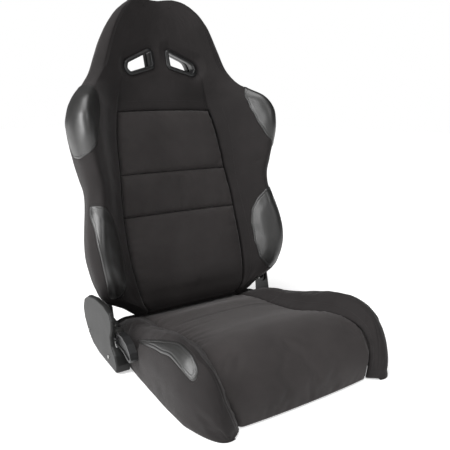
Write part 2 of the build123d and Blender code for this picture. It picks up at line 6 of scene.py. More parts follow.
import bmesh
import bpy
import numpy as np
from mathutils import Euler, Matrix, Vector


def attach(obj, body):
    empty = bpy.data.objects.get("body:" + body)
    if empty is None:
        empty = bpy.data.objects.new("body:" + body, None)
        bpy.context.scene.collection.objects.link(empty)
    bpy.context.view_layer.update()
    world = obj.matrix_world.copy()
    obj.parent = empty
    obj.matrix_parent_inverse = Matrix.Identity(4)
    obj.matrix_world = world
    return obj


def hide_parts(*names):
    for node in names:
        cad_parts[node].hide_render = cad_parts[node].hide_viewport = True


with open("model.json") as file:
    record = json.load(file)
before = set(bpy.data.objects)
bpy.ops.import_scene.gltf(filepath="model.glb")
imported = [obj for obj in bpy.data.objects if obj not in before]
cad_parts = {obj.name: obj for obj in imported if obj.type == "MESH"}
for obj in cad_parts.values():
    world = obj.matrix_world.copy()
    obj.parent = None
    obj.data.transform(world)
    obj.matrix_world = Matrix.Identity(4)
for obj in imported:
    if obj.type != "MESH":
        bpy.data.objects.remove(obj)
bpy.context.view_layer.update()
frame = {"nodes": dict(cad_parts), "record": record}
MM = 0.001

# ---------------------------------------------------------------- places, in millimetres
BACK_TILT = math.radians(17.4)         # lean of the back
BACK_ORIGIN = np.array([0.0, 260.0, 262.5])
SEAM_W = (-204.0, 55.0, 171.0, 346.0)  # cross seams of the back's centre panel, bottom to top
CROWN = 9.0                            # crown of the centre panels

# back sections, bottom to top: w, seam half-width, outer half-width, front d, crest d, rear d
BACK = [
    (-204, 140, 179, -18, -17, -41),
    (-196, 148, 190, -8, -7, -51),
    (-186, 154, 202, -2, 2, -56),
    (-154, 163, 258, 4, 32, -62),
    (-115, 168, 281, 5, 62, -65),
    (-78, 172, 291, 3, 77, -65),
    (-38, 173, 296, 2, 82, -65),
    (8, 173, 293, 0, 81, -65),
    (55, 172, 284, 0, 76, -65),
    (107, 169, 275, 0, 75, -65),
    (141, 165, 275, 0, 84, -65),
    (171, 162, 282, 0, 96, -65),
    (226, 159, 293, 0, 118, -65),
    (273, 155, 298, 0, 132, -65),
    (310, 149, 297, 0, 134, -65),
    (346, 142, 285, 0, 121, -64),
    (378, 136, 264, 3, 90, -62),
    (410, 129, 238, 8, 62, -59),
    (446, 119, 212, 14, 50, -55),
    (502, 104, 186, 20, 56, -50),
    (546, 90, 166, 30, 66, -44),
    (580, 75, 145, 39, 75, -36),
    (612, 55, 116, 46, 77, -22),
    (634, 36, 82, 49, 71, -2),
    (645, 20, 50, 49, 61, 14),
]

# base sections, rear to toe: seam (x, y, z), crest (x, y, z), side (x, y, z), hem (x, y)
BASE = [
    ((150, 249, 50), (200, 249, 50), (239, 249, 34), (238, 249)),
    ((154, 226, 50), (203, 226, 51), (240, 226, 36), (239, 226)),
    ((158, 200, 58), (207, 200, 63), (241, 200, 42), (240, 200)),
    ((160, 156, 63), (211, 156, 80), (243, 156, 50), (241, 156)),
    ((161, 122, 65), (214, 118, 90), (246, 114, 58), (244, 112)),
    ((161, 83, 68), (219, 82, 96), (256, 80, 62), (255, 80)),
    ((158, 20, 76), (222, 20, 112), (260, 20, 71), (259, 20)),
    ((157, -50, 89), (223, -50, 134), (262, -50, 84), (260, -50)),
    ((165, -105, 104), (222, -105, 148), (262, -105, 88), (260, -105)),
    ((177, -155, 113), (221, -157, 152), (261, -156, 90), (259, -157)),
    ((188, -205, 109), (218, -209, 145), (257, -210, 84), (255, -213)),
    ((192, -243, 92), (211, -254, 120), (241, -259, 72), (239, -265)),
    ((187, -263, 62), (202, -279, 75), (224, -285, 45), (223, -290)),
    ((176, -270, 24), (191, -289, 32), (207, -296, 19), (205, -298)),
    ((170, -272, 3), (183, -288, 5), (195, -295, 3.5), (193, -296)),
]
BASE_CROWN = 10.0
HEM_Z = 1.5
TUCK = 7.0                             # the base's centre panel runs this far under its bolsters

# harness openings, right-hand one, as (x, w) corners at the front bezel
SLOT = [(29, 472), (29, 511), (99, 477), (103, 462), (95, 452)]
SLOT_FRONT, SLOT_REAR = 17.3, -59.5
RIM = 11.0                             # width of a bezel's flange
FLARE = 16.0                           # openings are this much wider all round at the rear

COVER_THICKNESS = 12                   # sewn cover and foam, below the rest surface
BACKING_DEPTH = 14                     # the pinned back of a simulated panel lies this far below it
CLOTH_FRAMES = 20
SWELL_CAP = 5.0                        # most that a centre panel may swell
BOLSTER_SWELL_CAP = 4.0
CLOTH_THINNING = 2                     # every second grid line takes part in the simulation

# vinyl panels on the back: (w, distance outwards from the wing's crest)
SHOULDER_PATCH = [
    (205, 44), (212, 10), (238, -18), (280, -46), (322, -57), (357, -41), (378, -14), (397, 18),
    (402, 50), (392, 88), (358, 112), (308, 122), (255, 118), (217, 88),
]
LUMBAR_PATCH = [
    (94, 38), (86, 2), (64, -34), (32, -68), (-8, -84), (-65, -80), (-112, -54), (-140, -20),
    (-150, 8), (-142, 24), (-109, 15), (-40, 12), (24, 22), (72, 40),
]
# vinyl panel on the base: (y, distance outwards from the crest)
BASE_PATCH = [
    (32, 37), (-10, 32), (-58, 29), (-106, 22), (-160, 8), (-204, 10), (-232, 18), (-238, 32),
    (-231, 46), (-195, 46), (-155, 43), (-119, 49), (-49, 46), (0, 43),
]


# ---------------------------------------------------------------- curves and grids
def spline(knots, values, at):
    """Smooth curve through values at increasing knots, evaluated at `at` (cubic Hermite)."""
    knots, values, at = (np.asarray(v, float) for v in (knots, values, at))
    flat = (-1,) + (1,) * (values.ndim - 1)
    step = np.diff(knots).reshape(flat)
    slope = np.diff(values, axis=0) / step
    tangent = np.concatenate([slope[:1], slope[:-1], slope[-1:]])[: len(values)]
    weight = step[1:] / (step[1:] + step[:-1])
    tangent[1:-1] = slope[:-1] * weight + slope[1:] * (1 - weight)
    tangent[-1] = slope[-1]
    i = np.clip(np.searchsorted(knots, at, side="right") - 1, 0, len(knots) - 2)
    u = ((at - knots[i]) / (knots[i + 1] - knots[i])).reshape(flat)
    h = step[i]
    a, b = values[i], values[i + 1]
    return ((2 * u**3 - 3 * u**2 + 1) * a + (u**3 - 2 * u**2 + u) * h * tangent[i]
            + (3 * u**2 - 2 * u**3) * b + (u**3 - u**2) * h * tangent[i + 1])


def spaced(low, high, fine, coarse, reach):
    """Positions from low to high, `fine` apart at both ends and `coarse` apart past `reach` from them."""
    x = np.linspace(low, high, 400)
    gap = fine + (coarse - fine) * np.clip(np.minimum(x - low, high - x) / reach, 0, 1)
    count = np.concatenate([[0], np.cumsum(np.diff(x) * 2 / (gap[1:] + gap[:-1]))])
    return np.interp(np.linspace(0, count[-1], max(2, int(math.ceil(count[-1]))) + 1), count, x)


def chained(breaks, fine, coarse, reach):
    """Positions through all breaks, and the index of each break."""
    out, marks = [np.array([breaks[0]])], [0]
    for low, high in zip(breaks, breaks[1:]):
        out.append(spaced(low, high, fine, coarse, reach)[1:])
        marks.append(marks[-1] + len(out[-1]))
    return np.concatenate(out), marks


def chords(rows):
    """Mean running length along axis 1 of a (rows, points, n) array."""
    step = np.linalg.norm(np.diff(rows, axis=1), axis=2).mean(axis=0)
    return np.concatenate([[0], np.cumsum(step)])


def back_point(x, d, w):
    """Row-frame point of the back, d forward of its plane and w up it, in millimetres."""
    s, c = math.sin(BACK_TILT), math.cos(BACK_TILT)
    x, d, w = np.broadcast_arrays(x, d, w)
    return BACK_ORIGIN + np.stack([x, w * s - d * c, w * c + d * s], axis=-1)


def normals(grid, wrap=False):
    """Unit normals of a (rows, columns, 3) grid."""
    along = np.gradient(grid, axis=0)
    across = (np.roll(grid, -1, 1) - np.roll(grid, 1, 1)) if wrap else np.gradient(grid, axis=1)
    n = np.cross(across, along)
    return n / np.maximum(np.linalg.norm(n, axis=2, keepdims=True), 1e-9)


def run(grid, axis, start):
    """Distance along the grid's axis from index `start`."""
    step = np.linalg.norm(np.diff(grid, axis=axis), axis=2)
    pad = [(0, 0), (0, 0)]
    pad[axis] = (1, 0)
    total = np.cumsum(np.pad(step, pad), axis=axis)
    return np.abs(total - np.take(total, [start], axis=axis))


def roll(distance, radius, depth):
    """How far a pad's edge dives at a seam: a quarter-round of that radius and depth."""
    x = np.clip(distance / radius, 0, 1)
    return -depth * (1 - np.sqrt(np.clip(1 - (1 - x) ** 2, 0, 1)))


def groove(distance, width, depth):
    """Narrow sewn channel."""
    return -depth * np.exp(-((distance / width) ** 2))


def smooth_noise(shape, cells, seed):
    """Smooth random field, about -1 to 1, with that many cells each way."""
    rng = np.random.default_rng(seed)
    coarse = rng.uniform(-1, 1, (cells[0] + 1, cells[1] + 1))
    rows = spline(np.arange(cells[0] + 1), coarse, np.linspace(0, cells[0], shape[0]))
    return spline(np.arange(cells[1] + 1), rows.T, np.linspace(0, cells[1], shape[1])).T


def smoothstep(value, low, high):
    """0 below low, 1 above high, smooth between."""
    t = np.clip((value - low) / (high - low), 0, 1)
    return t * t * (3 - 2 * t)


def closed_curve(corners, count, sigma):
    """Even closed outline through corners, rounded by a Gaussian of that width."""
    corners = np.asarray(corners, float)
    loop = np.concatenate([corners, corners[:1]])
    length = np.concatenate([[0], np.cumsum(np.linalg.norm(np.diff(loop, axis=0), axis=1))])
    at = np.arange(count) * length[-1] / count
    even = np.stack([np.interp(at, length, loop[:, k]) for k in range(loop.shape[1])], axis=1)
    wave = np.fft.fftfreq(count, length[-1] / count)
    soft = np.exp(-2 * (np.pi * wave * sigma) ** 2)
    return np.fft.ifft(np.fft.fft(even, axis=0) * soft[:, None], axis=0).real


def outline_distance(x, y, outline):
    """Distance from points to a closed outline, negative inside it."""
    best = np.full(x.shape, 1e9)
    inside = np.zeros(x.shape, bool)
    for (ax, ay), (bx, by) in zip(outline, [*outline[1:], outline[0]]):
        ex, ey = bx - ax, by - ay
        t = np.clip(((x - ax) * ex + (y - ay) * ey) / (ex * ex + ey * ey), 0, 1)
        best = np.minimum(best, np.hypot(x - ax - t * ex, y - ay - t * ey))
        if ay != by:
            inside ^= ((ay > y) != (by > y)) & (x < ex * (y - ay) / (by - ay) + ax)
    return np.where(inside, -best, best)


def slot_distance(x, d, w):
    """Distance to the nearer harness opening, which runs level through the back."""
    level = w - (SLOT_FRONT - d) * math.tan(BACK_TILT)
    return outline_distance(np.abs(x), level + 0 * x, SLOT)


# ---------------------------------------------------------------- meshes
def mesh_object(name, points, faces, material, body):
    """Smooth mesh object from points in millimetres, riding on a body."""
    mesh = bpy.data.meshes.new(name)
    mesh.from_pydata((np.asarray(points).reshape(-1, 3) * MM).tolist(), [], faces)
    mesh.validate()
    mesh.update()
    mesh.shade_smooth()
    mesh.materials.append(material)
    obj = bpy.data.objects.new(name, mesh)
    bpy.context.scene.collection.objects.link(obj)
    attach(obj, body)
    return obj


def shell_faces(keep, wrap=False):
    """Faces of a closed shell: outer grid, inner grid and walls where kept cells end.

    keep is a (rows - 1, columns) or (rows - 1, columns - 1) mask of the grid's cells.
    """
    rows = keep.shape[0] + 1
    cols = keep.shape[1] + (0 if wrap else 1)
    inner = rows * cols
    faces = []
    for i, j in zip(*np.nonzero(keep)):
        k = (j + 1) % cols
        a, b, c, d = i * cols + j, i * cols + k, (i + 1) * cols + k, (i + 1) * cols + j
        faces.append((a, b, c, d))
        faces.append((inner + d, inner + c, inner + b, inner + a))
        left = (j - 1) % keep.shape[1] if wrap else j - 1
        right = (j + 1) % keep.shape[1] if wrap else j + 1
        if i == 0 or not keep[i - 1, j]:
            faces.append((b, a, inner + a, inner + b))
        if i == rows - 2 or not keep[i + 1, j]:
            faces.append((d, c, inner + c, inner + d))
        if left < 0 or not keep[i, left]:
            faces.append((a, d, inner + d, inner + a))
        if right >= keep.shape[1] or not keep[i, right]:
            faces.append((c, b, inner + b, inner + c))
    return faces


def compact(points, faces):
    """Drops unused points."""
    used = np.unique(np.concatenate([np.array(f) for f in faces]))
    lookup = np.full(len(points), -1)
    lookup[used] = np.arange(len(used))
    return points[used], [tuple(lookup[list(f)].tolist()) for f in faces]


def shell(name, outer, rest, thickness, material, body, keep=None, wrap=False, inner=None):
    """Closed sewn shell: the shaped outer grid over an inner grid.

    The inner grid lies `thickness` below the rest surface, unless `inner` gives it, and never below the hem.
    """
    if keep is None:
        keep = np.ones((outer.shape[0] - 1, outer.shape[1] - (0 if wrap else 1)), bool)
    if inner is None:
        inner = rest - normals(rest, wrap) * thickness
    inner[..., 2] = np.maximum(inner[..., 2], HEM_Z)
    points = np.concatenate([outer.reshape(-1, 3), inner.reshape(-1, 3)])
    points, faces = compact(points, shell_faces(keep, wrap))
    return mesh_object(name, points, faces, material, body)


def inflate(grid, pins, cap, every, pressure=4.0):
    """Cloth simulation of one stuffed panel, pinned along its seams; returns each point's offset.

    The panel is closed with a pinned back, swells under pressure with gravity off, and the
    movement is capped. `every` thins the grid for speed and the result is spread back over it.
    """
    rows = np.unique(np.concatenate([np.arange(0, grid.shape[0], every), [grid.shape[0] - 1]]))
    cols = np.unique(np.concatenate([np.arange(0, grid.shape[1], every), [grid.shape[1] - 1]]))
    small = grid[np.ix_(rows, cols)]
    pinned = pins[np.ix_(rows, cols)]
    count = small.shape[0] * small.shape[1]
    backing = small - normals(small) * BACKING_DEPTH
    points = np.concatenate([small.reshape(-1, 3), backing.reshape(-1, 3)]) * MM
    mesh = bpy.data.meshes.new("cloth_work")
    cells = np.ones((small.shape[0] - 1, small.shape[1] - 1), bool)
    mesh.from_pydata(points.tolist(), [], shell_faces(cells))
    work = bpy.data.objects.new("cloth_work", mesh)
    bpy.context.scene.collection.objects.link(work)
    group = work.vertex_groups.new(name="pin")
    group.add([int(v) for v in np.nonzero(pinned.ravel())[0]] + list(range(count, 2 * count)), 1.0, "REPLACE")
    cloth = work.modifiers.new("cloth", "CLOTH")
    settings = cloth.settings
    settings.quality = 4
    settings.mass = 0.3
    settings.tension_stiffness = settings.compression_stiffness = 8
    settings.shear_stiffness = 4
    settings.bending_stiffness = 0.35
    settings.shrink_min = -0.012
    settings.use_pressure = True
    settings.uniform_pressure_force = pressure
    settings.vertex_group_mass = "pin"
    settings.effector_weights.gravity = 0
    cloth.collision_settings.use_collision = False
    scene = bpy.context.scene
    for step in range(1, CLOTH_FRAMES + 1):
        scene.frame_set(step)
    done = work.evaluated_get(bpy.context.evaluated_depsgraph_get())
    result = np.zeros(len(done.data.vertices) * 3, np.float32)
    done.data.vertices.foreach_get("co", result)
    moved = result.reshape(-1, 3)[:count].reshape(small.shape) / MM - small
    size = np.linalg.norm(moved, axis=2, keepdims=True)
    moved *= np.tanh(size / cap) * cap / np.maximum(size, 1e-6)
    scene.frame_set(1)
    bpy.data.objects.remove(work)
    bpy.data.meshes.remove(mesh)
    spread = spline(rows, moved, np.arange(grid.shape[0]))
    return spline(cols, spread.transpose(1, 0, 2), np.arange(grid.shape[1])).transpose(1, 0, 2)


def swelling(grid, cap):
    """Cloth offsets of a panel sewn down all round."""
    pins = np.zeros(grid.shape[:2], bool)
    pins[[0, -1]] = True
    pins[:, [0, -1]] = True
    return inflate(grid, pins, cap, CLOTH_THINNING)


# ---------------------------------------------------------------- materials
def new_material(name):
    material = bpy.data.materials.new(name)
    material.use_nodes = True
    return material, material.node_tree.nodes, material.node_tree.links


def coords(nodes, links, scale):
    """Object coordinates in metres, multiplied by scale."""
    source = nodes.new("ShaderNodeTexCoord")
    mapping = nodes.new("ShaderNodeMapping")
    mapping.inputs["Scale"].default_value = scale if isinstance(scale, tuple) else (scale,) * 3
    links.new(source.outputs["Object"], mapping.inputs["Vector"])
    return mapping.outputs["Vector"]


def noise(nodes, links, vector, scale, detail=3.0, rough=0.55):
    node = nodes.new("ShaderNodeTexNoise")
    node.inputs["Scale"].default_value = scale
    node.inputs["Detail"].default_value = detail
    node.inputs["Roughness"].default_value = rough
    links.new(vector, node.inputs["Vector"])
    return node.outputs["Fac"]


def ramp(nodes, links, factor, low, high, start=0.3, end=0.7):
    """Colour ramp between two colours."""
    node = nodes.new("ShaderNodeValToRGB")
    node.color_ramp.elements[0].position = start
    node.color_ramp.elements[1].position = end
    node.color_ramp.elements[0].color = (*low, 1)
    node.color_ramp.elements[1].color = (*high, 1)
    links.new(factor, node.inputs["Fac"])
    return node.outputs["Color"]


def between(nodes, links, factor, low, high):
    """Number that runs from low to high with the factor."""
    node = nodes.new("ShaderNodeMapRange")
    node.inputs["To Min"].default_value = low
    node.inputs["To Max"].default_value = high
    links.new(factor, node.inputs["Value"])
    return node.outputs["Result"]


def combined(nodes, links, operation, a, b):
    node = nodes.new("ShaderNodeMath")
    node.operation = operation
    for value, socket in ((a, node.inputs[0]), (b, node.inputs[1])):
        if isinstance(value, (int, float)):
            socket.default_value = value
        else:
            links.new(value, socket)
    return node.outputs[0]


def bump(nodes, links, height, distance, strength, normal=None):
    node = nodes.new("ShaderNodeBump")
    node.inputs["Distance"].default_value = distance
    node.inputs["Strength"].default_value = strength
    links.new(height, node.inputs["Height"])
    if normal is not None:
        links.new(normal, node.inputs["Normal"])
    return node.outputs["Normal"]


def cloth_material(name, dark, light, sheen, rough, knit=1500.0, slub=0.5):
    """Fine knitted cloth: rows of loops, slubs, a soft nap and a little shade from cell to cell."""
    material, nodes, links = new_material(name)
    shader = nodes["Principled BSDF"]
    vector = coords(nodes, links, 1.0)
    shade = noise(nodes, links, vector, 9.0, 4.0, 0.6)
    fibre = noise(nodes, links, vector, knit * 0.55, 2.0, 0.7)
    mixed = combined(nodes, links, "ADD", combined(nodes, links, "MULTIPLY", shade, 0.55),
                     combined(nodes, links, "MULTIPLY", fibre, 0.45))
    links.new(ramp(nodes, links, mixed, dark, light, 0.32, 0.68), shader.inputs["Base Color"])
    links.new(between(nodes, links, fibre, rough - 0.08, rough + 0.08), shader.inputs["Roughness"])
    loops = nodes.new("ShaderNodeTexVoronoi")
    loops.inputs["Scale"].default_value = knit
    loops.inputs["Randomness"].default_value = 0.35
    links.new(coords(nodes, links, (1.0, 1.0, 0.62)), loops.inputs["Vector"])
    height = combined(nodes, links, "ADD", loops.outputs["Distance"],
                      combined(nodes, links, "MULTIPLY", fibre, slub))
    first = bump(nodes, links, height, 0.0004, 0.55)
    broad = noise(nodes, links, vector, 60.0, 3.0, 0.5)
    links.new(bump(nodes, links, broad, 0.0006, 0.35, first), shader.inputs["Normal"])
    shader.inputs["Sheen Weight"].default_value = sheen
    shader.inputs["Sheen Roughness"].default_value = 0.42
    shader.inputs["Sheen Tint"].default_value = (0.93, 0.9, 0.9, 1)
    shader.inputs["Specular IOR Level"].default_value = 0.3
    return material


def vinyl_material(name, colour, rough):
    """Grained upholstery vinyl: pebbled cells, fine pores, scuffs that lift the gloss."""
    material, nodes, links = new_material(name)
    shader = nodes["Principled BSDF"]
    vector = coords(nodes, links, 1.0)
    cells = nodes.new("ShaderNodeTexVoronoi")
    cells.feature = "DISTANCE_TO_EDGE"
    cells.inputs["Scale"].default_value = 620.0
    links.new(vector, cells.inputs["Vector"])
    pebble = between(nodes, links, cells.outputs["Distance"], 0.0, 1.0)
    pores = noise(nodes, links, vector, 2600.0, 2.0, 0.6)
    wear = noise(nodes, links, vector, 14.0, 5.0, 0.65)
    low = tuple(c * 0.8 for c in colour)
    high = tuple(c * 1.35 for c in colour)
    links.new(ramp(nodes, links, wear, low, high), shader.inputs["Base Color"])
    links.new(between(nodes, links, wear, rough - 0.06, rough + 0.09), shader.inputs["Roughness"])
    first = bump(nodes, links, pebble, 0.0005, 0.3)
    second = bump(nodes, links, pores, 0.0001, 0.25, first)
    broad = noise(nodes, links, vector, 38.0, 2.0, 0.5)
    links.new(bump(nodes, links, broad, 0.0012, 0.3, second), shader.inputs["Normal"])
    shader.inputs["Specular IOR Level"].default_value = 0.6
    shader.inputs["Coat Weight"].default_value = 0.4
    shader.inputs["Coat Roughness"].default_value = 0.38
    return material


def plastic_material(name, colour, rough, grain=900.0, gloss=0.45):
    """Moulded plastic with a spark-eroded grain and slight rub marks."""
    material, nodes, links = new_material(name)
    shader = nodes["Principled BSDF"]
    vector = coords(nodes, links, 1.0)
    fine = noise(nodes, links, vector, grain, 2.0, 0.6)
    rub = noise(nodes, links, vector, 22.0, 4.0, 0.6)
    low = tuple(c * 0.86 for c in colour)
    high = tuple(c * 1.2 for c in colour)
    links.new(ramp(nodes, links, rub, low, high), shader.inputs["Base Color"])
    links.new(between(nodes, links, rub, rough - 0.06, rough + 0.08), shader.inputs["Roughness"])
    links.new(bump(nodes, links, fine, 0.00012, 0.5), shader.inputs["Normal"])
    shader.inputs["Specular IOR Level"].default_value = gloss
    return material


def metal_material(name, colour, rough, metallic, streak=1.0, spots=0.12):
    """Plated or coated steel: fine streaks, cloudy patches and orange peel."""
    material, nodes, links = new_material(name)
    shader = nodes["Principled BSDF"]
    streaks = noise(nodes, links, coords(nodes, links, (1.0, streak, streak)), 700.0, 3.0, 0.6)
    cloud = noise(nodes, links, coords(nodes, links, 1.0), 45.0, 4.0, 0.6)
    low = tuple(c * (1 - spots) for c in colour)
    high = tuple(min(1, c * (1 + spots)) for c in colour)
    links.new(ramp(nodes, links, cloud, low, high), shader.inputs["Base Color"])
    mixed = combined(nodes, links, "ADD", combined(nodes, links, "MULTIPLY", streaks, 0.5),
                     combined(nodes, links, "MULTIPLY", cloud, 0.5))
    links.new(between(nodes, links, mixed, rough - 0.1, rough + 0.1), shader.inputs["Roughness"])
    links.new(bump(nodes, links, mixed, 0.0001, 0.35), shader.inputs["Normal"])
    shader.inputs["Metallic"].default_value = metallic
    return material


MATERIALS = {
    "insert_fabric": cloth_material(
        "insert_cloth", (0.020, 0.0172, 0.017), (0.042, 0.037, 0.0365), 0.16, 0.8),
    "bolster_fabric": cloth_material(
        "bolster_cloth", (0.0098, 0.0082, 0.0082), (0.021, 0.018, 0.018), 0.1, 0.8),
    "vinyl": vinyl_material("grained_vinyl", (0.014, 0.0138, 0.0134), 0.4),
    "black_plastic": plastic_material("black_moulding", (0.012, 0.012, 0.0125), 0.36),
    "cover_plastic": plastic_material("grey_moulding", (0.011, 0.011, 0.0108), 0.46, gloss=0.25),
    "black_steel": metal_material("powder_coat", (0.016, 0.016, 0.0165), 0.45, 0.0),
    "zinc_steel": metal_material("zinc_plate", (0.55, 0.55, 0.54), 0.34, 1.0, 6.0),
    "bronze": metal_material("sintered_bronze", (0.52, 0.34, 0.15), 0.42, 1.0),
    "rubber": plastic_material("strap_rubber", (0.022, 0.021, 0.02), 0.7, 500.0),
    "thread": cloth_material("thread", (0.015, 0.014, 0.014), (0.035, 0.032, 0.032), 0.1, 0.6, 4000.0),
}


# ---------------------------------------------------------------- back covers
def back_sections():
    """Smooth back surface: (rows, columns, 3) grid round the whole back, its w values and seam marks."""
    table = np.array(BACK, float)
    w, marks = chained([SEAM_W[0], SEAM_W[1], SEAM_W[2], SEAM_W[3], 610.0, table[-1, 0]], 1.6, 5.0, 12.0)
    _, seam, outer, front, crest_d, rear = spline(table[:, 0], table, w).T
    seam = np.maximum(seam, 4)
    crest = outer - 30 * np.minimum(1, outer / 200)
    rise, deep = crest_d - front, crest_d - rear
    side = [
        (seam, front),
        (seam + 0.3 * (crest - seam), front + 0.25 * rise),
        (seam + 0.75 * (crest - seam), front + 0.8 * rise),
        (crest, crest_d),
        (0.985 * outer, crest_d - 0.13 * deep),
        (outer, rear + 0.6 * deep),
        (0.95 * outer, rear + 0.25 * deep),
        (0.84 * outer, rear + 9),
        (0.6 * outer, rear + 1),
        (0 * outer, rear),
    ]
    control = np.stack([np.stack([x, d], axis=1) for x, d in side], axis=1)
    knots = chords(control)
    at, side_marks = chained([0, knots[3], knots[7], knots[9]], 1.8, 5.0, 14.0)
    swept = spline(knots, control.transpose(1, 0, 2), at).transpose(1, 0, 2)
    centre_at = spaced(-1.0, 1.0, 1.6 / 150, 5.0 / 150, 14.0 / 150)
    x = seam[:, None] * centre_at[None, :]
    crown = CROWN * (1 - centre_at**2)
    fade = np.clip((w + 204) / 60, 0, 1) * np.clip((table[-1, 0] - w) / 120, 0.0, 1)
    d = front[:, None] + crown[None, :] * fade[:, None]
    centre = np.stack([x, d], axis=2)
    right = swept[:, 1:]
    left = swept[:, ::-1] * np.array([-1, 1])
    ring = np.concatenate([left[:, 1:-1], centre, right], axis=1)
    level = w[:, None] + 0 * ring[..., 0]
    # the head is one smooth bowl between its rims, without the creases of the panel's seams
    share = np.clip(np.abs(ring[..., 0]) / crest[:, None], 0, 1)
    bowl = front[:, None] + rise[:, None] * share**2.3
    inner_face = (ring[..., 1] > front[:, None] - 1) & (np.abs(ring[..., 0]) <= crest[:, None] + 1e-6)
    ring[..., 1] += np.where(inner_face, bowl - ring[..., 1], 0) * smoothstep(level, 370, 450)
    near = 1 - smoothstep(outline_distance(np.abs(ring[..., 0]), level, SLOT), RIM - 1, RIM + 24)
    near = np.where(ring[..., 1] > 0, near, 0)
    ring[..., 1] += (SLOT_FRONT - 0.8 - ring[..., 1]) * near
    n_side = len(at)
    columns = {
        "seam_left": n_side - 2,
        "seam_right": n_side - 2 + len(centre_at) - 1,
    }
    columns["crest_right"] = columns["seam_right"] + side_marks[1]
    columns["crest_left"] = columns["seam_left"] - side_marks[1]
    columns["corner_right"] = columns["seam_right"] + side_marks[2]
    columns["corner_left"] = columns["seam_left"] - side_marks[2]
    grid = back_point(ring[..., 0], ring[..., 1], w[:, None])
    reach = np.where(ring[..., 1] > 0, 5.5, FLARE + 5.5)
    open_cells = slot_distance(ring[..., 0], ring[..., 1], level) < reach
    return grid, w, marks, columns, open_cells


def capped(grid, sunk=0.0):
    """Adds rows that close the ring's top to a dome and its bottom to a rounded edge.

    `sunk` keeps the closing rows that far inside, for a cover's inner surface.
    """
    middle = grid[-1].mean(axis=0)
    up = back_point(0, 0, 1) - back_point(0, 0, 0)
    top = [(middle + (grid[-1] - middle) * scale + up * (lift - sunk))[None]
           for scale, lift in ((0.9, 1.2), (0.76, 2.2), (0.58, 3.0), (0.38, 3.6), (0.18, 3.9), (0.02, 4.0))]
    forward = back_point(0, 1, 0) - back_point(0, 0, 0)
    depth = (grid[0] - BACK_ORIGIN) @ forward
    flat = grid[0] - (depth + 28)[:, None] * forward
    bottom = [(flat + (grid[0] - flat) * scale - up * (drop - sunk))[None]
              for scale, drop in ((0.03, 6.0), (0.35, 5.4), (0.7, 3.8), (0.9, 1.8))]
    return np.concatenate([*bottom, grid, *top]), len(bottom), len(top)


def sampled(grid, rows, cols):
    """Points of a grid at fractional rows and columns."""
    i = np.clip(np.floor(rows).astype(int), 0, grid.shape[0] - 2)
    j = np.clip(np.floor(cols).astype(int), 0, grid.shape[1] - 2)
    u, v = (rows - i)[..., None], (cols - j)[..., None]
    return ((grid[i, j] * (1 - v) + grid[i, j + 1] * v) * (1 - u)
            + (grid[i + 1, j] * (1 - v) + grid[i + 1, j + 1] * v) * u)


def overlay(name, surface, ways, places, outline, body, puff):
    """Vinyl panel sewn on a grid, from a closed outline in (row place, distance across) coordinates.

    places are the grid's row positions, increasing; ways are each point's signed distance across.
    """
    normal = normals(surface)
    falling = ways[0, -1] < ways[0, 0]
    edge = closed_curve(outline, 360, 5.0)

    def place(spot):
        rows = np.interp(spot[..., 0], places, np.arange(len(places)))
        low = np.clip(np.floor(rows).astype(int), 0, len(places) - 2)
        part = rows - low
        cols = np.empty_like(rows)
        for index in np.ndindex(rows.shape):
            way = ways[low[index]] * (1 - part[index]) + ways[low[index] + 1] * part[index]
            if falling:
                cols[index] = len(way) - 1 - np.interp(spot[index][1], way[::-1], np.arange(len(way)))
            else:
                cols[index] = np.interp(spot[index][1], way, np.arange(len(way)))
        return sampled(surface, rows, cols), sampled(normal, rows, cols)

    lengthways = 0.5 - 0.5 * np.cos(np.pi * (np.linspace(0, 1, 90) * 0.995 + 0.0025))
    level = edge[:, 0].min() + np.ptp(edge[:, 0]) * lengthways
    sides = np.empty((len(level), 2))
    after = np.roll(edge, -1, 0)
    for k, value in enumerate(level):
        cut = (edge[:, 0] > value) != (after[:, 0] > value)
        share = (value - edge[cut, 0]) / (after[cut, 0] - edge[cut, 0])
        met = edge[cut, 1] + (after[cut, 1] - edge[cut, 1]) * share
        sides[k] = met.min(), met.max()
    crossways = 0.5 - 0.5 * np.cos(np.pi * np.linspace(0, 1, 46))
    spot = np.empty((len(level), len(crossways), 2))
    spot[..., 0] = level[:, None]
    spot[..., 1] = sides[:, :1] + (sides[:, 1:] - sides[:, :1]) * crossways
    base, up = place(spot)
    inset = np.maximum(-outline_distance(spot[..., 0], spot[..., 1], edge.tolist()), 0)
    height = 2.4 + roll(inset, 5, 3.6) + groove(inset - 7, 1.2, 0.6) + puff * smoothstep(inset, 4, 36)
    points, faces = grid_shell(base + up * height[..., None], base - up * 4)
    piece = mesh_object(name, points, faces, MATERIALS["vinyl"], body)
    fix_winding(piece)
    ahead = np.roll(edge, -1, 0) - np.roll(edge, 1, 0)
    inward = np.stack([-ahead[:, 1], ahead[:, 0]], axis=1)
    inward /= np.linalg.norm(inward, axis=1, keepdims=True)
    if np.mean(np.sum(inward * (edge - edge.mean(axis=0)), axis=1)) > 0:
        inward = -inward
    for depth, rise in ((5.2, 2.4), (-2.4, 0.3)):
        line, face = place(edge + inward * depth)
        line = np.concatenate([line, line[:1]])
        face = np.concatenate([face, face[:1]])
        label = "inner" if depth > 0 else "outer"
        stitches(f"{name}_stitching_{label}", line + face * rise, face, body)
    return piece


def grid_shell(top, bottom):
    """Points and faces of a closed shell between two equal grids."""
    keep = np.ones((top.shape[0] - 1, top.shape[1] - 1), bool)
    return np.concatenate([top.reshape(-1, 3), bottom.reshape(-1, 3)]), shell_faces(keep)


